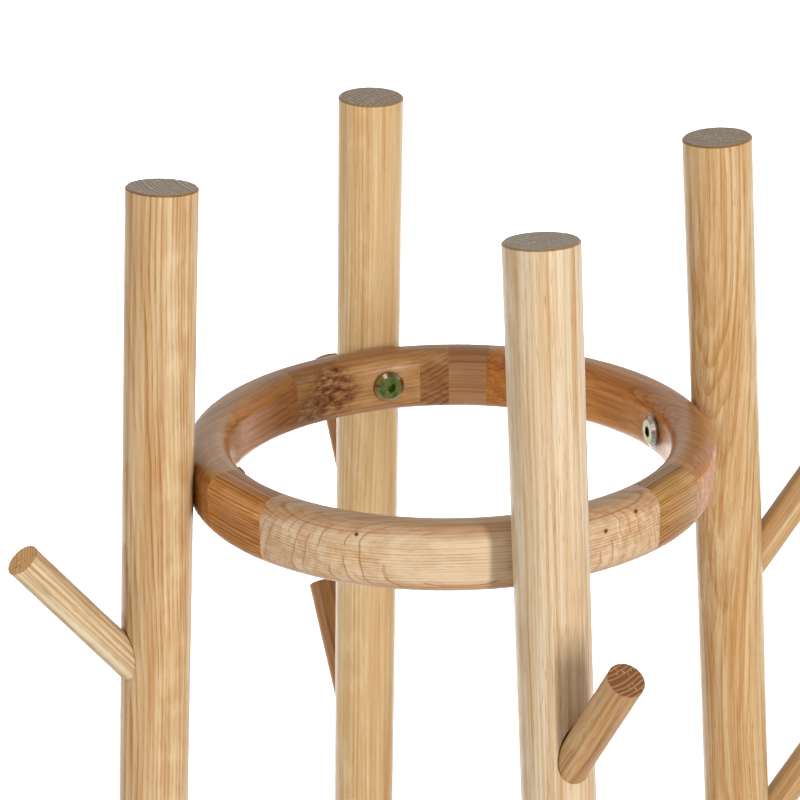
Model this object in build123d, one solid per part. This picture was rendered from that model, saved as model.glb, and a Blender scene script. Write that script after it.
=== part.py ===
from build123d import *
from collections import namedtuple
import math
import os

# A floor-standing coat stand in solid oak. Four round posts lean against the outside of two glued-up
# rings and are bolted to them from the inside. Dowel pegs rise outwards from blind holes in the posts.
# Frame: +Z up, origin on the floor on the stand's centre line, one post towards each of +X, +Y, -X, -Y.
# Millimetres and degrees throughout. Azimuths run anticlockwise from +X, seen from above.

# Whole stand
STAND_HEIGHT = 1750.0
POST_AZIMUTHS = {"right": 0.0, "back": 90.0, "left": 180.0, "front": 270.0}

# Posts
POST_DIAMETER = 38.0
POST_SPLAY = 3.74  # outward lean, going down
POST_SIDE_LEAN = 0.71  # anticlockwise lean, going down
POST_AXIS_AT_UPPER_RING = 163.1  # from the centre line to the post's axis
POST_TOP_ABOVE_RING = 167.4  # along the post's axis
POST_TOP_CHAMFER = 0.9
POST_FOOT_CHAMFER = 1.0

# Rings: a rounded rectangular section, taller than it is thick
RING_THICKNESS = 24.4
RING_DEPTH = 36.0
RING_CORNER = 10.0
RING_SEAT_DEPTH = 0.44  # how far the ring beds into each post at mid-height
RING_SEAT_CLEARANCE = 0.02
RING_SEAT_ARC = 30.0  # how far round the ring a post's seat is cut, wider than the post
LOWER_RING_HEIGHT = 350.0

# Each ring is glued up from arcs. An arc starts at its azimuth and runs anticlockwise to the next start.
UPPER_RING_ARCS = {
    "upper_ring_back_right_key": 62.0,
    "upper_ring_back_key": 72.7,
    "upper_ring_back": 80.8,
    "upper_ring_left": 119.5,
    "upper_ring_front_left_key": 190.8,
    "upper_ring_front": 210.1,
    "upper_ring_front_right_key": 300.1,
    "upper_ring_right": 315.3,
}
LOWER_RING_ARCS = {
    "lower_ring_back": 30.0,
    "lower_ring_left": 120.0,
    "lower_ring_front": 210.0,
    "lower_ring_right": 300.0,
}
TENON_THICKNESS = 8.0
TENON_DEPTH = 16.0
TENON_LENGTH = 7.0
TENON_ROOT = 2.0  # length of the tenon's root inside its own arc
MORTISE_CLEARANCE = 0.1
MORTISE_LENGTH = 7.4

# Pegs
PEG_DIAMETER = 19.0
PEG_TAIL = 1.3  # how far the peg runs on past the post's axis
PEG_TIP_ROUNDING = 0.5
PEG_TAIL_CHAMFER = 1.0
PEG_BORE_DIAMETER = 20.0
PEG_BORE_LIFT = 0.45  # the peg rests on the bore's lower side, so the gap shows above it
PEG_BORE_GAP = 0.5  # glue room behind the peg's inner end
PEG_BORE_MOUTH = 60.0  # from the post's axis, well outside the post
# Each post's pegs: distance below the upper ring along the post, turn from straight outwards, rise above
# the horizontal, and reach from the post's axis to the peg's tip
Peg = namedtuple("Peg", "level drop turn rise reach")
PEGS = {
    "right": [Peg("upper", 106.5, 2.6, 52.0, 116.0), Peg("lower", 285.4, 2.8, 52.0, 116.0)],
    "back": [Peg("upper", 117.7, 2.0, 52.0, 119.0), Peg("lower", 278.0, 4.0, 52.0, 119.0)],
    "left": [Peg("upper", 111.7, 12.7, 52.1, 115.3), Peg("lower", 282.0, 2.8, 52.0, 116.0)],
    "front": [Peg("upper", 114.4, 12.7, 55.0, 102.5), Peg("lower", 282.0, 2.8, 52.0, 116.0)],
}

# Furniture connector bolts, M8, and their insert nuts
BOLT_RADIUS = 4.0
BOLT_LENGTH = 40.0
BOLT_TIP_CHAMFER = 0.8
BOLT_HEAD_RADIUS = 9.0
BOLT_HEAD_FLAT_RADIUS = 6.8
BOLT_HEAD_HEIGHT = 4.2  # above the ring, with the shoulder
BOLT_BEVEL_HEIGHT = 1.9
BOLT_SHOULDER_RADIUS = 7.0
BOLT_SHOULDER_HEIGHT = 1.4
BOLT_HEAD_CLEARANCE = 0.01
HEX_ACROSS_FLATS = 6.0
HEX_DEPTH = 4.2
BOLT_HOLE_DIAMETER = 8.6
INSERT_DIAMETER = 12.0
INSERT_HOLE_DIAMETER = 8.1
INSERT_LENGTH = 15.0
INSERT_SET_BACK = 0.8  # from the post's seat
INSERT_BORE_DIAMETER = 12.1
INSERT_BORE_EXTRA = 2.0

# Nail-in foot glides
GLIDE_RADIUS = 12.5
GLIDE_HEIGHT = 4.0
GLIDE_ROUNDING = 1.0
NAIL_RADIUS = 1.1
NAIL_LENGTH = 20.0
NAIL_POINT_LENGTH = 4.0
NAIL_HEAD_RADIUS = 3.2
NAIL_HEAD_HEIGHT = 1.0
NAIL_HOLE_RADIUS = 1.2
NAIL_RECESS_RADIUS = 3.6
NAIL_RECESS_DEPTH = 2.0

# Worked out from the above
POST_RADIUS = POST_DIAMETER / 2
POST_UP = Vector(
    -math.tan(math.radians(POST_SPLAY)), -math.tan(math.radians(POST_SIDE_LEAN)), 1
).normalized()
POST_TILT = math.acos(POST_UP.Z)
UPPER_RING_HEIGHT = (
    STAND_HEIGHT - POST_TOP_ABOVE_RING * math.cos(POST_TILT) - POST_RADIUS * math.sin(POST_TILT)
)

Ring = namedtuple("Ring", "height outer centre inner bolt_azimuth")


def write(name, solids):
    """Writes one node: a single solid, or several alike as a group."""
    shape = solids[0] if len(solids) == 1 else Compound(children=solids)
    shape.label = name
    export_step(shape, f"parts/{name}.step")


def rod(start, direction, diameter, length):
    """A cylinder that runs a length from a start point along a direction."""
    return extrude(Plane(origin=start, z_dir=direction) * Circle(diameter / 2), amount=length)


def turned(points):
    """A solid of revolution about Z from its outline, given as radius and height."""
    outline = make_face(Plane.XZ * Polyline(*points, close=True))
    return revolve(outline, axis=Axis.Z)


# ---- The post towards +X; the others are the same, turned about the centre line ----


def post_axis_point(drop):
    """The point of the post's axis that is a distance below the upper ring, along the post."""
    return Vector(POST_AXIS_AT_UPPER_RING, 0, UPPER_RING_HEIGHT) - POST_UP * drop


def post_axis_at_height(height):
    """The point of the post's axis that is a height above the floor."""
    return post_axis_point((UPPER_RING_HEIGHT - height) / POST_UP.Z)


def ring_at(height):
    """A ring's radii where it beds into the posts, and the azimuth of its bolt in the post towards +X."""
    axis = post_axis_at_height(height)
    post_face = math.hypot(axis.X, axis.Y) - POST_RADIUS / math.cos(POST_TILT)
    outer = post_face + RING_SEAT_DEPTH
    return Ring(
        height=height,
        outer=outer,
        centre=outer - RING_THICKNESS / 2,
        inner=outer - RING_THICKNESS,
        bolt_azimuth=math.degrees(math.atan2(axis.Y, axis.X)),
    )


def along_bolt(ring, radius):
    """The point on a bolt's axis at a distance from the centre line, and the bolt's direction."""
    direction = Vector(1, 0, 0).rotate(Axis.Z, ring.bolt_azimuth)
    return direction * radius + Vector(0, 0, ring.height), direction


def blank_post():
    """A plain round post, square at the top and cut level at the foot."""
    foot = post_axis_at_height(GLIDE_HEIGHT)
    spare = POST_DIAMETER
    length = (post_axis_point(-POST_TOP_ABOVE_RING) - foot).length + spare
    shaft = rod(foot - POST_UP * spare, POST_UP, POST_DIAMETER, length)
    shaft -= Pos(foot.X, foot.Y, GLIDE_HEIGHT - spare) * Box(3 * spare, 3 * spare, 2 * spare)
    shaft = chamfer(shaft.edges().filter_by(GeomType.CIRCLE), POST_TOP_CHAMFER)
    return chamfer(shaft.edges().filter_by(GeomType.ELLIPSE), POST_FOOT_CHAMFER)


def ring_seat(ring):
    """What a post loses to a ring: a bed of the ring's own shape and the insert nut's bore."""
    growth = 2 * RING_SEAT_CLEARANCE
    bed = swept(
        ring,
        RING_THICKNESS + growth,
        RING_DEPTH + growth,
        ring.bolt_azimuth - RING_SEAT_ARC / 2,
        RING_SEAT_ARC,
        RING_CORNER + RING_SEAT_CLEARANCE,
    )
    start, direction = along_bolt(ring, ring.centre)
    length = ring.outer - ring.centre + INSERT_SET_BACK + INSERT_LENGTH + INSERT_BORE_EXTRA
    return bed + rod(start, direction, INSERT_BORE_DIAMETER, length)


def slanting(turn, rise):
    """A direction, by its turn from straight outwards and its rise above the horizontal."""
    outwards = Vector(math.cos(math.radians(turn)), math.sin(math.radians(turn)), 0)
    return outwards * math.cos(math.radians(rise)) + Vector(0, 0, math.sin(math.radians(rise)))


def peg_bore(peg):
    """The blind hole that holds a peg."""
    direction = slanting(peg.turn, peg.rise)
    lift = slanting(peg.turn, peg.rise + 90) * PEG_BORE_LIFT
    tail = PEG_TAIL + PEG_BORE_GAP
    start = post_axis_point(peg.drop) + lift - direction * tail
    return rod(start, direction, PEG_BORE_DIAMETER, tail + PEG_BORE_MOUTH)


def post(pegs, rings):
    """One post with its peg bores, ring seats and the nail hole in its foot."""
    foot = post_axis_at_height(GLIDE_HEIGHT)
    shaft = blank_post()
    for peg in pegs:
        shaft -= peg_bore(peg)
    for ring in rings:
        shaft -= ring_seat(ring)
    return shaft - rod(foot, Vector(0, 0, 1), 2 * NAIL_HOLE_RADIUS, NAIL_LENGTH)


def dowel_peg(peg):
    """A plain dowel with a softened tip, glued into its bore."""
    direction = slanting(peg.turn, peg.rise)
    start = post_axis_point(peg.drop) - direction * PEG_TAIL
    dowel = rod(start, direction, PEG_DIAMETER, PEG_TAIL + peg.reach)
    rims = dowel.edges().filter_by(GeomType.CIRCLE).sort_by(Axis.Z)
    dowel = chamfer(rims[0], PEG_TAIL_CHAMFER)
    rims = dowel.edges().filter_by(GeomType.CIRCLE).sort_by(Axis.Z)
    return fillet(rims[-1], PEG_TIP_ROUNDING)


# ---- Rings ----


def swept(ring, thickness, depth, start, arc, corner=0.0):
    """A rectangle centred on the ring's section, swept round the ring from a start azimuth."""
    if corner:
        section = RectangleRounded(thickness, depth, corner)
    else:
        section = Rectangle(thickness, depth)
    section = Plane.XZ * Pos(ring.centre, ring.height) * section
    return revolve(section, axis=Axis.Z, revolution_arc=arc).rotate(Axis.Z, start)


def ring_arc(ring, start, end):
    """One arc of a ring: a tenon on its last end, a mortise in its first, and any bolt hole it carries."""
    degrees_per_mm = math.degrees(1 / ring.centre)
    arc = swept(ring, RING_THICKNESS, RING_DEPTH, start, end - start, RING_CORNER)
    tenon_start = end - TENON_ROOT * degrees_per_mm
    tenon_arc = (TENON_ROOT + TENON_LENGTH) * degrees_per_mm
    arc += swept(ring, TENON_THICKNESS, TENON_DEPTH, tenon_start, tenon_arc)
    growth = 2 * MORTISE_CLEARANCE
    mortise_start = start - TENON_ROOT * degrees_per_mm
    mortise_arc = (TENON_ROOT + MORTISE_LENGTH) * degrees_per_mm
    arc -= swept(ring, TENON_THICKNESS + growth, TENON_DEPTH + growth, mortise_start, mortise_arc)
    for post_azimuth in POST_AZIMUTHS.values():
        bolt_azimuth = post_azimuth + ring.bolt_azimuth
        if (bolt_azimuth - start) % 360 < end - start:
            middle, direction = along_bolt(ring, ring.inner - RING_THICKNESS / 2)
            hole = rod(middle, direction, BOLT_HOLE_DIAMETER, 2 * RING_THICKNESS)
            arc -= hole.rotate(Axis.Z, post_azimuth)
    return arc


def write_ring(ring, arcs):
    """All arcs of one ring, each as its own node."""
    names = list(arcs)
    starts = list(arcs.values())
    ends = starts[1:] + [starts[0] + 360]
    for name, start, end in zip(names, starts, ends):
        write(name, [ring_arc(ring, start, end)])


# ---- Fasteners and feet ----


def connector_bolt(ring):
    """A bolt with a bevelled head on a narrower shoulder, and a plain shank in place of its thread."""
    bolt = turned(
        [
            (0, -BOLT_HEAD_HEIGHT),
            (BOLT_HEAD_FLAT_RADIUS, -BOLT_HEAD_HEIGHT),
            (BOLT_HEAD_RADIUS, BOLT_BEVEL_HEIGHT - BOLT_HEAD_HEIGHT),
            (BOLT_HEAD_RADIUS, -BOLT_SHOULDER_HEIGHT),
            (BOLT_SHOULDER_RADIUS, -BOLT_SHOULDER_HEIGHT),
            (BOLT_SHOULDER_RADIUS, 0),
            (BOLT_RADIUS, 0),
            (BOLT_RADIUS, BOLT_LENGTH - BOLT_TIP_CHAMFER),
            (BOLT_RADIUS - BOLT_TIP_CHAMFER, BOLT_LENGTH),
            (0, BOLT_LENGTH),
        ]
    )
    socket = RegularPolygon(HEX_ACROSS_FLATS / math.sqrt(3), 6)
    bolt -= Pos(0, 0, -BOLT_HEAD_HEIGHT) * extrude(socket, amount=HEX_DEPTH)
    seat = math.sqrt(ring.inner**2 - BOLT_SHOULDER_RADIUS**2) - BOLT_HEAD_CLEARANCE
    origin, direction = along_bolt(ring, seat)
    return Plane(origin=origin, z_dir=direction, x_dir=(0, 0, 1)) * bolt


def insert_nut(ring):
    """A threaded insert in the post, drawn as a plain sleeve."""
    origin, direction = along_bolt(ring, ring.outer + INSERT_SET_BACK)
    sleeve = rod(origin, direction, INSERT_DIAMETER, INSERT_LENGTH)
    return sleeve - rod(origin, direction, INSERT_HOLE_DIAMETER, INSERT_LENGTH)


def foot_glide():
    """A plastic glide with a recess for its nail's head."""
    glide = turned(
        [
            (NAIL_RECESS_RADIUS, 0),
            (GLIDE_RADIUS, 0),
            (GLIDE_RADIUS, GLIDE_HEIGHT),
            (NAIL_HOLE_RADIUS, GLIDE_HEIGHT),
            (NAIL_HOLE_RADIUS, NAIL_RECESS_DEPTH),
            (NAIL_RECESS_RADIUS, NAIL_RECESS_DEPTH),
        ]
    )
    floor_edges = glide.edges().filter_by(GeomType.CIRCLE).group_by(Axis.Z)[0]
    glide = fillet(floor_edges.sort_by(SortBy.RADIUS)[-1], GLIDE_ROUNDING)
    foot = post_axis_at_height(GLIDE_HEIGHT)
    return Pos(foot.X, foot.Y, 0) * glide


def glide_nail():
    """The nail that holds a glide, its head clear of the floor."""
    head_top = NAIL_RECESS_DEPTH
    tip = head_top + NAIL_LENGTH
    nail = turned(
        [
            (0, head_top - NAIL_HEAD_HEIGHT),
            (NAIL_HEAD_RADIUS, head_top - NAIL_HEAD_HEIGHT),
            (NAIL_HEAD_RADIUS, head_top),
            (NAIL_RADIUS, head_top),
            (NAIL_RADIUS, tip - NAIL_POINT_LENGTH),
            (0, tip),
        ]
    )
    foot = post_axis_at_height(GLIDE_HEIGHT)
    return Pos(foot.X, foot.Y, 0) * nail


def one_per_post(solid):
    """The same piece at all four posts."""
    return [solid.rotate(Axis.Z, azimuth) for azimuth in POST_AZIMUTHS.values()]


os.makedirs("parts", exist_ok=True)

upper_ring = ring_at(UPPER_RING_HEIGHT)
lower_ring = ring_at(LOWER_RING_HEIGHT)

for side, azimuth in POST_AZIMUTHS.items():
    write(f"post_{side}", [post(PEGS[side], [upper_ring, lower_ring]).rotate(Axis.Z, azimuth)])
    for peg in PEGS[side]:
        write(f"peg_{side}_{peg.level}", [dowel_peg(peg).rotate(Axis.Z, azimuth)])

write_ring(upper_ring, UPPER_RING_ARCS)
write_ring(lower_ring, LOWER_RING_ARCS)

for level, ring in {"upper": upper_ring, "lower": lower_ring}.items():
    write(f"{level}_ring_bolts", one_per_post(connector_bolt(ring)))
    write(f"{level}_insert_nuts", one_per_post(insert_nut(ring)))

write("foot_glides", one_per_post(foot_glide()))
write("glide_nails", one_per_post(glide_nail()))
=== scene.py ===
import bpy
import math
from typing import NamedTuple
from mathutils import Matrix, Vector


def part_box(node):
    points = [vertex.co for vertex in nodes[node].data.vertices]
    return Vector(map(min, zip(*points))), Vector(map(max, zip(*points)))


# Looks of the oak coat stand: every piece is a CAD node with a procedural material of its own.
# Metres, in the stand's own frame: +Z up, origin on the floor on the centre line.

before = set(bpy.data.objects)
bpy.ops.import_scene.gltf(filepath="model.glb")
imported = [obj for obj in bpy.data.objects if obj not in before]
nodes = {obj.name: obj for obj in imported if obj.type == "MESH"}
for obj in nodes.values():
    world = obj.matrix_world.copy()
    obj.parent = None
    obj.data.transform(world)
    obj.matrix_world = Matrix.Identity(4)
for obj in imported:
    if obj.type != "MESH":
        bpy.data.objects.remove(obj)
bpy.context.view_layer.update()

MM = 0.001
UP = Vector((0, 0, 1))


# ---- Node helpers ----


class Graph:
    """A short way to write a material's node tree."""

    def __init__(self, name):
        self.material = bpy.data.materials.new(name)
        self.material.use_nodes = True
        self.tree = self.material.node_tree
        self.tree.nodes.clear()

    def node(self, kind, inputs=None, **settings):
        made = self.tree.nodes.new(kind)
        for key, value in settings.items():
            setattr(made, key, value)
        for key, value in (inputs or {}).items():
            self.feed(made.inputs[key], value)
        return made

    def feed(self, socket, value):
        if isinstance(value, bpy.types.NodeSocket):
            self.tree.links.new(value, socket)
        else:
            socket.default_value = value

    def math(self, operation, a, b=0.0, c=0.0):
        return self.node("ShaderNodeMath", {0: a, 1: b, 2: c}, operation=operation).outputs[0]

    def add(self, a, b):
        return self.math("ADD", a, b)

    def times(self, a, b):
        return self.math("MULTIPLY", a, b)

    def times_add(self, a, b, c):
        return self.math("MULTIPLY_ADD", a, b, c)

    def invert(self, a):
        return self.math("SUBTRACT", 1.0, a)

    def vector(self, operation, a, b=(0, 0, 0)):
        made = self.node("ShaderNodeVectorMath", {0: a, 1: b}, operation=operation)
        return made.outputs["Value" if operation in ("DOT_PRODUCT", "LENGTH") else "Vector"]

    def per(self, a, size):
        return self.times(a, 1 / size)

    def dot(self, a, direction):
        return self.vector("DOT_PRODUCT", a, tuple(direction))

    def scale(self, vector, factor):
        return self.vector("MULTIPLY", vector, (factor, factor, factor))

    def combine(self, x, y, z):
        return self.node("ShaderNodeCombineXYZ", {0: x, 1: y, 2: z}).outputs[0]

    def noise(self, vector, detail=1.0, roughness=0.5):
        inputs = {"Vector": vector, "Scale": 1.0, "Detail": detail, "Roughness": roughness}
        return self.node("ShaderNodeTexNoise", inputs, noise_dimensions="3D").outputs["Fac"]

    def smooth(self, value, low, high, start=0.0, end=1.0):
        """Goes smoothly from a start level to an end level as the value goes from low to high."""
        inputs = {"Value": value, "From Min": low, "From Max": high, "To Min": start, "To Max": end}
        made = self.node("ShaderNodeMapRange", inputs, interpolation_type="SMOOTHSTEP")
        return made.outputs["Result"]

    def ramp(self, value, stops):
        """A curve through (position, level) stops."""
        made = self.node("ShaderNodeValToRGB", {"Fac": value})
        elements = made.color_ramp.elements
        while len(elements) < len(stops):
            elements.new(1.0)
        for element, (position, level) in zip(elements, stops):
            element.position = position
            element.color = (level, level, level, 1)
        return made.outputs["Color"]

    def mix(self, factor, a, b, blend="MIX"):
        made = self.node("ShaderNodeMix", data_type="RGBA", blend_type=blend)
        self.feed(made.inputs["Factor"], factor)
        self.feed(made.inputs[6], a)
        self.feed(made.inputs[7], b)
        return made.outputs[2]

    def finish(self, color, roughness, height=None, bump=0.3, depth=0.1 * MM, **constants):
        shader = self.node("ShaderNodeBsdfPrincipled", {"Base Color": color, "Roughness": roughness})
        for key, value in constants.items():
            shader.inputs[key.replace("_", " ")].default_value = value
        if height is not None:
            bumped = self.node("ShaderNodeBump", {"Height": height, "Strength": bump, "Distance": depth})
            self.feed(shader.inputs["Normal"], bumped.outputs[0])
        out = self.node("ShaderNodeOutputMaterial")
        self.tree.links.new(shader.outputs[0], out.inputs["Surface"])
        return self.material


def rgb(red, green, blue):
    """A colour as it looks on screen, 0 to 255, as a linear colour."""
    channels = [c / 255 for c in (red, green, blue)]
    linear = [c / 12.92 if c <= 0.04045 else ((c + 0.055) / 1.055) ** 2.4 for c in channels]
    return (*linear, 1.0)


def scaled(color, factor):
    return tuple(min(1.0, c * factor) for c in color[:3]) + (1.0,)


# ---- Oak ----

RING_END, RING_END_LINE = rgb(140, 92, 56), rgb(190, 146, 100)
RAY_RED = rgb(166, 102, 58)
KNOT_BROWN = rgb(104, 40, 14)
BURL_BROWN = rgb(92, 44, 12)
BURL_SCALE = (150.0, 150.0, 330.0)  # per metre
# Painted sheen: upper faces are mixed towards this pale grey, in place of the lacquer's reflection of the
# bright surroundings
PAINTED_SHEEN_GREY = rgb(212, 200, 168)
AGED = (1.0, 0.94, 0.84, 1.0)  # multiplies the colour of warmer patches
SATIN = 0.37  # roughness of the surfaces along the grain

# Levels through one year's growth: the porous spring wood, and the lines on a cut end
SPRING_WOOD = [(0.0, 0.0), (0.07, 1.0), (0.25, 0.75), (0.55, 0.15), (0.92, 0.0), (1.0, 0.0)]
END_LINES = [(0.0, 0.8), (0.06, 0.1), (0.4, 0.0), (0.75, 0.1), (0.9, 0.7), (1.0, 0.9)]

# In mm
SEED_SHIFT = 977.0  # along the grain, from one seed's wood to the next one's
SEED_STEP = 3.7  # between the noise that two seeds drift by
WANDER_LENGTH = 110.0  # over which a leaning grain turns
SLOW_DRIFT, SLOW_LENGTH = 14.0, 300.0
WAVER_U, WAVER_V = 5.0, 3.0
RAY_THICKNESS = 0.12
RAY_STEP = 7.31  # between the noise that two long rays come and go by


class Look(NamedTuple):
    """What one piece of oak looks like. Lengths are in mm."""

    light: tuple  # the wood between growth lines
    dark: tuple  # the wood along growth lines
    pith: tuple  # where the tree's middle lies, across the piece
    ring: float = 2.2  # width of a year's growth
    growth: float = 0.6  # contrast of the growth lines
    contrast: float = 1.1  # contrast of the rest of the figure
    lean: float = 0.0  # the grain's slope, at lean_at
    lean_at: float = 0.0  # a place along the piece, from its middle
    turn: float = 0.0  # degrees from the piece's own direction to the grain
    slits: float = 0.1  # how strongly the short ends of rays show
    sheets: float = 0.5  # how strongly long rays show
    sheet_gap: float = 5.0  # from one long ray to the next
    end: tuple = RING_END  # end grain
    end_line: tuple = RING_END_LINE  # growth lines in the end grain
    rim: float = 0.0  # how brown the edge of a cut end is
    coat: float = 0.65  # weight of the lacquer
    painted_sheen: float = 0.0  # painted sheen: how far the upper faces are lightened towards a pale grey, standing in for the lacquer's reflection of the bright surroundings


class Mark(NamedTuple):
    """A pin knot, or a burl where it is ragged."""

    place: Vector
    size: float  # mm
    strength: float = 1.0
    ragged: bool = False


class Oak(Graph):
    """Solid oak, cut from a tree whose pith lies at look.pith across the piece.

    Places are in mm: u and v across the piece, along by its grain, radius and arc about the pith.
    across and grain are unit vectors. The seed picks the stretch of wood.
    """

    def __init__(self, name, origin, across, grain, look, seed):
        super().__init__(name)
        self.look = look
        self.seed = seed
        third = grain.cross(across)
        coordinates = self.node("ShaderNodeTexCoord")
        self.position = coordinates.outputs["Object"]
        self.normal = coordinates.outputs["Normal"]
        place = self.vector("SUBTRACT", self.position, tuple(origin))
        w = self.dot(place, grain / MM)
        self.along = self.add(w, seed * SEED_SHIFT)
        phase = self.times_add(w, 1 / WANDER_LENGTH, math.pi - look.lean_at / WANDER_LENGTH)
        leaning = self.math("SINE", phase)
        self.u = self.times_add(leaning, look.lean * WANDER_LENGTH, self.dot(place, across / MM))
        self.v = self.dot(place, third / MM)
        self.facing = self.math("ABSOLUTE", self.dot(self.normal, grain))
        self.sideways = self.combine(self.dot(self.normal, across), self.dot(self.normal, third), 0.0)
        self.place_pith()
        self.grow_rings()
        self.grow_fibre()
        self.grow_rays()

    def stretched(self, across, along):
        """Coordinates for features of these sizes, drawn out along the grain."""
        return self.combine(self.per(self.u, across), self.per(self.v, across), self.per(self.along, along))

    def about_pith(self, arc, radius, along):
        """Coordinates for features of these sizes, laid out about the pith."""
        polar = self.per(self.arc, arc), self.per(self.radius, radius)
        return self.combine(*polar, self.per(self.along, along))

    def place_pith(self):
        """Polar places about the pith. The grain drifts slowly along the piece and wavers everywhere."""
        pith_u, pith_v = self.look.pith
        slow = self.noise(self.combine(self.seed * SEED_STEP, 0.5, self.per(self.along, SLOW_LENGTH)))
        waver = self.noise(self.stretched(across=24.0, along=105.0), detail=2.0)
        drift = self.times_add(waver, WAVER_U, -(SLOW_DRIFT + WAVER_U) / 2)
        drift = self.times_add(slow, SLOW_DRIFT, drift)
        from_u = self.add(self.u, self.add(drift, -pith_u))
        from_v = self.add(self.times_add(waver, WAVER_V, self.v), -pith_v - WAVER_V / 2)
        self.radius = self.vector("LENGTH", self.combine(from_u, from_v, 0.0))
        self.arc = self.times(self.math("ARCTAN2", from_v, from_u), math.hypot(pith_u, pith_v))
        self.outward_u = self.math("DIVIDE", from_u, self.radius)
        self.outward_v = self.math("DIVIDE", from_v, self.radius)

    def grow_rings(self):
        """Dark porous spring wood that fades into pale summer wood, no two years alike."""
        uneven = self.noise(self.combine(self.per(self.radius, 9.0), self.seed, 0.0))
        years = self.add(self.per(self.radius, self.look.ring), self.times(uneven, 2.4))
        number = self.math("FLOOR", years)
        chance = self.node("ShaderNodeTexWhiteNoise", {"W": number}, noise_dimensions="1D")
        self.year = chance.outputs["Value"]
        self.within = self.math("FRACT", years)
        spring = self.ramp(self.within, SPRING_WOOD)
        self.spring = self.times(spring, self.times_add(self.year, 0.75, 0.25))

    def grow_fibre(self):
        """Fine fibre everywhere, and pores mostly in the spring wood."""
        self.fibre = self.noise(self.stretched(across=0.9, along=90.0), detail=3.0, roughness=0.65)
        pore = self.smooth(self.noise(self.stretched(across=0.42, along=10.0)), 0.56, 0.70)
        self.pore = self.times(pore, self.times_add(self.spring, 0.7, 0.3))

    def grow_rays(self):
        """Thin sheets that run out from the pith, along the grain.

        Cut across they are reddish slits. Where the surface lies along them they are silky patches.
        """
        outward = self.combine(self.outward_u, self.outward_v, 0.0)
        tangential = self.vector("DOT_PRODUCT", outward, self.sideways)
        self.tangential = self.smooth(self.math("ABSOLUTE", tangential), 0.2, 0.8)
        ray = self.noise(self.about_pith(arc=0.55, radius=16.0, along=16.0))
        self.slit = self.times(self.smooth(ray, 0.655, 0.74), self.tangential)
        silk = self.noise(self.about_pith(arc=3.0, radius=12.0, along=22.0), detail=2.0)
        self.silk = self.times(self.smooth(silk, 0.42, 0.68), self.invert(self.tangential))

    def long_rays(self):
        """Evenly spaced long rays that come and go along the grain, where they aren't seen flat."""
        gap = self.look.sheet_gap
        width = RAY_THICKNESS / gap
        waver = self.noise(self.combine(self.per(self.radius, 20.0), self.per(self.along, 30.0), self.seed))
        count = self.add(self.per(self.arc, gap), self.times(waver, 0.9))
        number = self.math("FLOOR", count)
        off = self.math("ABSOLUTE", self.times_add(number, -1.0, self.add(count, -0.5)))
        sheet = self.smooth(off, width, 2.2 * width, 1.0, 0.0)
        own = self.times(number, RAY_STEP)
        present = self.noise(self.combine(own, self.per(self.radius, 22.0), self.per(self.along, 34.0)))
        sheet = self.times(sheet, self.smooth(present, 0.46, 0.52))
        across_ray = self.combine(self.times(self.outward_v, -1.0), self.outward_u, 0.0)
        seen_flat = self.math("ABSOLUTE", self.vector("DOT_PRODUCT", across_ray, self.sideways))
        return self.times(sheet, self.smooth(seen_flat, 0.93, 0.98, 1.0, 0.0))

    def long_grain(self):
        """Colour of the surfaces along the grain, with a painted sheen on the upper faces."""
        look = self.look
        streaks = self.noise(self.stretched(across=2.4, along=210.0), detail=2.0, roughness=0.6)
        patches = self.noise(self.stretched(across=10.0, along=110.0), detail=2.0)
        tone = self.smooth(streaks, 0.34, 0.66, 0.0, 0.4 * look.contrast)
        tone = self.times_add(self.smooth(patches, 0.35, 0.65), 0.15 * look.contrast, tone)
        tone = self.times_add(self.smooth(self.fibre, 0.3, 0.7), 0.25 * look.contrast, tone)
        tone = self.times_add(self.spring, look.growth, tone)
        tone = self.times_add(self.silk, -0.3, tone)
        tone = self.times_add(self.smooth(self.facing, 0.1, 0.9), 0.3, tone)
        tone = self.times_add(self.tangential, 0.5 * look.sheets, tone)
        tone = self.math("MAXIMUM", self.add(tone, -0.1), 0.0)
        color = self.mix(self.math("MINIMUM", tone, 1.0), look.light, look.dark)
        warmth = self.noise(self.stretched(across=18.0, along=90.0), detail=2.0)
        color = self.mix(self.smooth(warmth, 0.45, 0.75), color, AGED, "MULTIPLY")
        color = self.mix(self.times(self.times(self.slit, look.slits), 0.5), color, RAY_RED)
        color = self.mix(self.times(self.long_rays(), look.sheets), color, RAY_RED)
        color = self.mix(self.times(self.pore, 0.55 * look.contrast), color, scaled(look.dark, 0.6))
        # Painted sheen: faces turned upward are lightened towards a pale grey, standing in for the
        # reflection of the bright surroundings
        upper = self.smooth(self.dot(self.normal, UP), 0.55, 0.95, 0.0, look.painted_sheen)
        return self.mix(upper, color, PAINTED_SHEEN_GREY)

    def cut_ends(self, color):
        """Adds the ends, with growth rings seen head on, and their burnished brown edges."""
        look = self.look
        edge = self.smooth(self.facing, 0.35, 0.55)
        edge = self.times(edge, self.smooth(self.facing, 0.86, 0.93, 1.0, 0.0))
        color = self.mix(self.times(edge, look.rim), color, scaled(look.dark, 0.5))
        line = self.times(self.ramp(self.within, END_LINES), self.times_add(self.year, 0.5, 0.5))
        ray = self.noise(self.combine(self.per(self.arc, 0.9), self.per(self.radius, 4.0), self.seed))
        line = self.math("MAXIMUM", line, self.smooth(ray, 0.62, 0.70, 0.0, 0.7))
        speck_place = self.combine(self.per(self.u, 0.5), self.per(self.v, 0.5), self.seed)
        self.speck = self.noise(speck_place, detail=2.0)
        end = self.mix(self.smooth(self.speck, 0.35, 0.7, 0.0, 0.3), look.end, scaled(look.end, 0.6))
        self.cut = self.smooth(self.facing, 0.88, 0.95)
        return self.mix(self.cut, color, self.mix(line, end, look.end_line))

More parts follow.
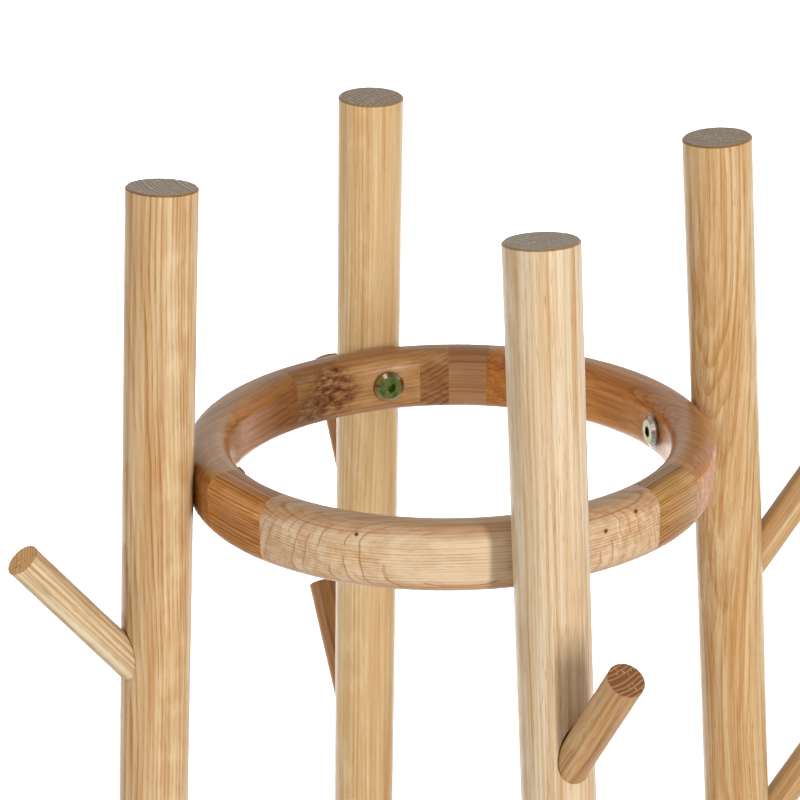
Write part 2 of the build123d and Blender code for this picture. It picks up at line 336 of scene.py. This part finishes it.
    def marked(self, color, marks):
        """Adds pin knots and burls."""
        for mark in marks:
            distance = self.vector("LENGTH", self.vector("SUBTRACT", self.position, tuple(mark.place)))
            inside = self.smooth(distance, 0.5 * mark.size * MM, 1.5 * mark.size * MM, mark.strength, 0.0)
            if mark.ragged:
                crumple_place = self.vector("MULTIPLY", self.position, BURL_SCALE)
                crumple = self.noise(crumple_place, detail=5.0, roughness=0.6)
                inside = self.times(inside, self.smooth(crumple, 0.34, 0.62, 0.15, 1.0))
            color = self.mix(inside, color, BURL_BROWN if mark.ragged else KNOT_BROWN)
        return color

    def lacquered(self, color):
        """The material, under a satin lacquer that leaves the pores open."""
        height = self.invert(self.times_add(self.spring, 0.25, self.pore))
        height = self.times_add(self.fibre, 0.3, height)
        height = self.times_add(self.times(self.speck, self.cut), 1.2, height)
        roughness = self.times_add(self.pore, 0.12, SATIN)
        roughness = self.times_add(self.cut, 0.2, roughness)
        roughness = self.times_add(self.silk, -0.06, roughness)
        gloss = {"IOR": 1.2, "Coat_Weight": self.look.coat, "Coat_IOR": 1.35, "Coat_Roughness": 0.28}
        return self.finish(color, roughness, height, bump=0.35, depth=0.12 * MM, **gloss)


def oak(name, origin, across, grain, look, seed, marks=()):
    wood = Oak(name, origin, across, grain, look, seed)
    color = wood.cut_ends(wood.long_grain())
    return wood.lacquered(wood.marked(color, marks))


# ---- Places on the pieces ----

END_PART = 0.06  # of a piece's length, taken as its end


def mesh_points(node):
    return [v.co.copy() for v in nodes[node].data.vertices]


def end_to_end(node, hint):
    """Middle and direction of a straight round piece, from the rims at its two ends."""
    points = mesh_points(node)
    along = [p.dot(hint) for p in points]
    low, high = min(along), max(along)
    span = END_PART * (high - low)
    first = [p for p, a in zip(points, along) if a < low + span]
    last = [p for p, a in zip(points, along) if a > high - span]
    start = sum(first, Vector()) / len(first)
    finish = sum(last, Vector()) / len(last)
    return (start + finish) / 2, (finish - start).normalized()


def square_to(direction, hint):
    """The unit vector square to a direction and nearest to a hint."""
    hint = Vector(hint)
    return (hint - direction * hint.dot(direction)).normalized()


def dress(node, material):
    mesh = nodes[node].data
    mesh.materials.clear()
    mesh.materials.append(material)


# ---- Posts and pegs ----

POST_KIND = {
    "end": rgb(138, 114, 86),
    "end_line": rgb(240, 216, 184),
    "lean_at": 690.0,  # near the upper ring
    "sheets": 0.0,
    "rim": 0.75,
    "coat": 0.5,
}
PEG_KIND = {
    "end": rgb(128, 82, 48),
    "end_line": rgb(212, 168, 122),
    "growth": 0.4,
    "slits": 0.5,
    "sheets": 0.0,
    "rim": 0.5,
    "coat": 0.5,
}
PALE_END = {"end": rgb(176, 164, 146), "end_line": rgb(206, 194, 176)}
GOLDEN_END = {"end": rgb(232, 174, 108), "end_line": rgb(142, 86, 42)}
PEG_SLOPE = 1.28  # rise over reach
POST_SEED = 1.0
PEG_SEEDS = {"upper": 5.5, "lower": 25.5}


def post_look(light, dark, pith, **details):
    return Look(light, dark, pith, **{**POST_KIND, **details})


def peg_look(light, dark, pith, **details):
    return Look(light, dark, pith, **{**PEG_KIND, **details})


POST_LOOKS = {
    "right": post_look(
        rgb(218, 190, 145), rgb(178, 123, 62), (52, 66), growth=0.42, contrast=1.3, lean=0.12, slits=0.9
    ),
    "back": post_look(
        rgb(221, 193, 148), rgb(189, 143, 84), (70, -88), ring=2.6, contrast=0.95, lean=0.02, slits=0.3
    ),
    "left": post_look(rgb(221, 194, 152), rgb(178, 124, 66), (96, 18), contrast=1.2, lean=-0.015, slits=0.2),
    "front": post_look(
        rgb(223, 205, 176), rgb(188, 144, 91), (-16, 84), growth=0.4, contrast=1.2, lean=0.012, slits=1.0
    ),
}
PEG_LOOKS = {
    "right": peg_look(rgb(206, 170, 122), rgb(158, 111, 64), (40, 50)),
    "back": peg_look(rgb(188, 140, 88), rgb(140, 88, 46), (-50, 40), **PALE_END),
    "left": peg_look(
        rgb(231, 213, 180), rgb(175, 133, 85), (-60, 40), contrast=1.4, slits=1.0, **GOLDEN_END
    ),
    "front": peg_look(rgb(208, 167, 118), rgb(153, 106, 59), (60, 12), contrast=1.3),
}


def dress_post(side, seed):
    name = f"post_{side}"
    middle, up = end_to_end(name, UP)
    across = square_to(up, (1, 0, 0))
    dress(name, oak(f"oak_{name}", middle, across, up, POST_LOOKS[side], seed))


def dress_peg(side, level, seed):
    name = f"peg_{side}_{level}"
    low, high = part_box(name)
    centre = (low + high) / 2
    outwards = Vector((centre.x, centre.y, 0)).normalized()
    middle, out = end_to_end(name, (outwards + UP * PEG_SLOPE).normalized())
    dress(name, oak(f"oak_{name}", middle, square_to(out, UP), out, PEG_LOOKS[side], seed))


for index, side in enumerate(POST_LOOKS):
    dress_post(side, POST_SEED + index)
    for level, seed in PEG_SEEDS.items():
        dress_peg(side, level, seed + index)


# ---- Rings ----

TAN, BROWN = rgb(216, 172, 122), rgb(158, 100, 56)
RING_SEED = 11.3

RING_LOOKS = {
    "upper_ring_back_right_key": Look(rgb(173, 128, 87), rgb(131, 81, 43), (20, 90), contrast=0.6),
    "upper_ring_back_key": Look(rgb(181, 135, 84), rgb(112, 63, 28), (40, -46), contrast=0.6, turn=30),
    "upper_ring_back": Look(rgb(192, 144, 93), rgb(142, 89, 44), (16, -100), contrast=0.7),
    "upper_ring_left": Look(
        rgb(194, 133, 67),
        rgb(132, 72, 21),
        (70, -60),
        ring=3.0,
        growth=0.45,
        contrast=0.8,
        turn=-22,
        painted_sheen=0.22,
    ),
    "upper_ring_front_left_key": Look(
        rgb(216, 151, 79), rgb(141, 77, 22), (64, 64), ring=1.6, growth=1.0, contrast=0.8
    ),
    "upper_ring_front": Look(
        rgb(218, 192, 158),
        rgb(174, 121, 72),
        (8, -110),
        ring=1.5,
        contrast=0.6,
        slits=1.0,
        sheets=0.65,
        sheet_gap=3.6,
    ),
    "upper_ring_front_right_key": Look(
        rgb(198, 154, 89), rgb(131, 80, 27), (64, 64), ring=1.6, growth=1.0, contrast=0.8
    ),
    "upper_ring_right": Look(
        rgb(216, 147, 70),
        rgb(147, 79, 22),
        (-60, -100),
        ring=1.8,
        growth=0.3,
        contrast=0.9,
        turn=14,
        painted_sheen=0.13,
    ),
    "lower_ring_back": Look(TAN, BROWN, (20, -100)),
    "lower_ring_left": Look(TAN, BROWN, (-70, 60)),
    "lower_ring_front": Look(TAN, BROWN, (30, 90)),
    "lower_ring_right": Look(TAN, BROWN, (60, -80)),
}


RING_THICKNESS = 24.4 * MM
RING_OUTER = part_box("upper_ring_right")[1].x
ring_low, ring_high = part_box("upper_ring_front")
RING_HEIGHT = (ring_low.z + ring_high.z) / 2


def on_ring(azimuth, above, inset=0.0, inside=False):
    """A point on the upper ring's outer or inner face, in degrees and mm; inset follows a rounded corner."""
    radius = RING_OUTER - RING_THICKNESS + inset * MM if inside else RING_OUTER - inset * MM
    angle = math.radians(azimuth)
    return Vector((radius * math.cos(angle), radius * math.sin(angle), RING_HEIGHT + above * MM))


RING_MARKS = {
    "upper_ring_front": [
        Mark(on_ring(233.3, 12.8, inset=0.9), size=1.1),
        Mark(on_ring(285.0, 7.4), size=1.2),
        Mark(on_ring(293.2, 12.6, inset=1.0), size=1.2),
    ],
    "upper_ring_back": [
        Mark(on_ring(107.2, 1.5, inside=True), size=16.0, ragged=True),
        Mark(on_ring(115.5, -7.0, inside=True), size=9.0, strength=0.8, ragged=True),
        Mark(on_ring(105.2, 14.4, inset=2.0, inside=True), size=1.5),
    ],
    "upper_ring_right": [Mark(on_ring(57.0, 0.0, inside=True), size=20.0, strength=0.28)],
}


def dress_arc(name, look, seed):
    points = mesh_points(name)
    middle = sum(points, Vector()) / len(points)
    out = Vector((middle.x, middle.y, 0)).normalized()
    out.rotate(Matrix.Rotation(math.radians(look.turn), 3, "Z"))
    dress(name, oak(f"oak_{name}", middle, out, UP.cross(out), look, seed, RING_MARKS.get(name, ())))


for index, (name, look) in enumerate(RING_LOOKS.items()):
    dress_arc(name, look, RING_SEED + index)


# ---- Metal and plastic ----

STRAW, GREEN, BRASSY = rgb(136, 132, 94), rgb(80, 112, 46), rgb(148, 136, 88)
PALE_ZINC, GREY_ZINC = rgb(196, 196, 192), rgb(176, 178, 176)
FILM_ROSE = rgb(190, 146, 136)


def zinc(name, face, bevel, dim_reflection_face, roughness):
    """Zinc plating, with drifting hues and rosy bevels. Painted reflection: near +X the face takes the face
    colour and the bevel grey, elsewhere the face takes the darker reflection colour, as the piece at +X
    faces brighter surroundings.
    """
    g = Graph(name)
    coordinates = g.node("ShaderNodeTexCoord")
    position = coordinates.outputs["Object"]
    drift = g.noise(g.scale(position, 240.0), detail=2.0)
    speck = g.noise(g.scale(position, 900.0), detail=3.0)
    grit = g.noise(g.scale(position, 2600.0), detail=3.0)
    out = g.vector("NORMALIZE", g.vector("MULTIPLY", position, (1.0, 1.0, 0.0)))
    flat = g.math("ABSOLUTE", g.vector("DOT_PRODUCT", coordinates.outputs["Normal"], out))
    side = g.node("ShaderNodeSeparateXYZ", {0: position}).outputs["X"]
    # Painted reflection: pieces away from +X get the darker, greener face and the brassy bevel, the piece at
    # +X the paler face and the grey bevel
    dim_reflection_side = g.smooth(side, 0.03, 0.1, 1.0, 0.0)
    color = g.mix(dim_reflection_side, face, dim_reflection_face)
    color = g.mix(g.smooth(speck, 0.45, 0.65, 0.0, 0.35), color, face)
    color = g.mix(g.smooth(drift, 0.42, 0.6, 0.0, 0.6), color, bevel)
    edge = g.mix(dim_reflection_side, GREY_ZINC, bevel)
    edge = g.mix(g.smooth(drift, 0.5, 0.62, 0.0, 0.7), edge, FILM_ROSE)
    # The bevels take their own, brighter colour: partly the plating's tint, partly a painted highlight of
    # the light above that they face
    color = g.mix(g.smooth(flat, 0.9, 0.97, 1.0, 0.0), color, edge)
    rough = g.times_add(grit, 0.12, roughness)
    return g.finish(color, rough, grit, bump=0.15, depth=0.05 * MM, Metallic=1.0)


def plastic(name, color):
    """Moulded plastic with a fine sparked texture."""
    g = Graph(name)
    position = g.node("ShaderNodeTexCoord").outputs["Object"]
    grain = g.noise(g.scale(position, 1500.0), detail=3.0)
    worn = g.noise(g.scale(position, 90.0), detail=2.0)
    shade = g.mix(g.smooth(worn, 0.4, 0.7), color, scaled(color, 1.6))
    rough = g.times_add(grain, 0.2, 0.42)
    return g.finish(shade, rough, grain, bump=0.25, depth=0.05 * MM)


for level in ("upper", "lower"):
    dress(f"{level}_ring_bolts", zinc(f"zinc_{level}", STRAW, BRASSY, GREEN, roughness=0.14))
    dress(f"{level}_insert_nuts", zinc(f"insert_{level}", PALE_ZINC, GREY_ZINC, GREY_ZINC, roughness=0.3))
dress("glide_nails", zinc("nail_steel", PALE_ZINC, GREY_ZINC, GREY_ZINC, roughness=0.28))
dress("foot_glides", plastic("glide_plastic", rgb(62, 52, 46)))


# ---- Stage, light and camera ----

CAMERA_AZIMUTH = -17.53  # degrees from -Y towards +X
CAMERA_DISTANCE = 1.3014  # from the centre line
CAMERA_ABOVE_RING = 0.5167
CAMERA_YAW = 16.34  # looking direction, from +Y towards +X
CAMERA_PITCH = 20.37  # below the horizontal
CAMERA_ROLL = 0.98
CAMERA_LENS = 114.92
SENSOR_WIDTH = 36.0
FLOOR_REACH = 40.0
FLOOR_SHADES = (0.93, 0.93, 0.93, 1), (0.95, 0.95, 0.95, 1)


def add_object(name, data):
    made = bpy.data.objects.new(name, data)
    bpy.context.scene.collection.objects.link(made)
    return made


def place_camera():
    azimuth = math.radians(CAMERA_AZIMUTH)
    yaw, pitch, roll = (math.radians(a) for a in (CAMERA_YAW, CAMERA_PITCH, CAMERA_ROLL))
    forward = Vector((math.sin(yaw) * math.cos(pitch), math.cos(yaw) * math.cos(pitch), -math.sin(pitch)))
    right = Vector((math.cos(yaw), -math.sin(yaw), 0))
    up = right.cross(forward)
    tilted_right = right * math.cos(roll) - up * math.sin(roll)
    tilted_up = right * math.sin(roll) + up * math.cos(roll)
    data = bpy.data.cameras.new("camera")
    data.lens = CAMERA_LENS
    data.sensor_width = SENSOR_WIDTH
    data.clip_start = 0.05
    data.clip_end = 200
    camera = add_object("camera", data)
    basis = (tilted_right, tilted_up, -forward)
    rows = [[b[i] for b in basis] for i in range(3)]
    camera.matrix_world = Matrix(rows).to_4x4()
    camera.location = (
        CAMERA_DISTANCE * math.sin(azimuth),
        -CAMERA_DISTANCE * math.cos(azimuth),
        RING_HEIGHT + CAMERA_ABOVE_RING,
    )
    bpy.context.scene.camera = camera


def towards(azimuth, elevation):
    """The unit vector towards a light; azimuth is from -Y towards +X."""
    a, e = math.radians(azimuth), math.radians(elevation)
    return Vector((math.sin(a) * math.cos(e), -math.cos(a) * math.cos(e), math.sin(e)))


def new_panel(name, strength, **settings):
    """A light panel that isn't placed yet."""
    data = bpy.data.lights.new(name, "AREA")
    data.energy = strength
    for key, value in settings.items():
        setattr(data, key, value)
    return add_object(name, data)


def add_light(name, turn, elevation, distance, strength, **settings):
    """A light panel that looks at the upper ring's middle; turn is from the camera's azimuth."""
    lamp = new_panel(name, strength, **settings)
    direction = towards(CAMERA_AZIMUTH + turn, elevation)
    lamp.location = Vector((0, 0, RING_HEIGHT)) + direction * distance
    lamp.rotation_mode = "QUATERNION"
    lamp.rotation_quaternion = (-direction).to_track_quat("-Z", "Y")


def make_floor():
    """A plain pale floor, large enough to fill the picture behind the stand."""
    signs = (-1, -1), (1, -1), (1, 1), (-1, 1)
    corners = [(x * FLOOR_REACH, y * FLOOR_REACH, 0) for x, y in signs]
    mesh = bpy.data.meshes.new("floor")
    mesh.from_pydata(corners, [], [(0, 1, 2, 3)])
    floor = add_object("floor", mesh)
    g = Graph("floor_paint")
    position = g.node("ShaderNodeTexCoord").outputs["Object"]
    cloud = g.noise(g.scale(position, 1.3), detail=3.0)
    color = g.mix(g.smooth(cloud, 0.3, 0.7), *FLOOR_SHADES)
    mesh.materials.append(g.finish(color, roughness=0.7))


def make_world(horizon, zenith):
    """Soft light from all round, weaker from above."""
    world = bpy.data.worlds.new("studio")
    world.use_nodes = True
    tree = world.node_tree
    direction = tree.nodes.new("ShaderNodeTexCoord").outputs["Generated"]
    split = tree.nodes.new("ShaderNodeSeparateXYZ")
    tree.links.new(direction, split.inputs[0])
    fade = tree.nodes.new("ShaderNodeMapRange")
    fade.inputs["From Min"].default_value = 0.3
    fade.inputs["From Max"].default_value = 0.9
    fade.inputs["To Min"].default_value = horizon
    fade.inputs["To Max"].default_value = zenith
    tree.links.new(split.outputs["Z"], fade.inputs["Value"])
    background = tree.nodes["Background"]
    background.inputs["Color"].default_value = (1, 1, 1, 1)
    tree.links.new(fade.outputs["Result"], background.inputs["Strength"])
    bpy.context.scene.world = world


def light_far_floor(middle, height, strength, **settings):
    """A wide panel that looks straight down and whitens the floor behind the stand."""
    lamp = new_panel("far_floor", strength, **settings)
    away = towards(CAMERA_AZIMUTH + 180, 0) * middle
    lamp.location = (away.x, away.y, height)


make_floor()
make_world(horizon=0.84, zenith=0.15)
add_light("key", 30, 6, distance=2.2, strength=30.5, shape="RECTANGLE", size=0.22, size_y=1.3)
add_light("fill", -74, 6, distance=2.4, strength=8, shape="RECTANGLE", size=0.8, size_y=2.2)
add_light("top", -10, 62, distance=2.5, strength=5, size=0.9)
light_far_floor(middle=6.5, height=5.0, strength=500, size=9.0, spread=math.radians(60))
place_camera()
bpy.context.scene.view_settings.view_transform = "Standard"
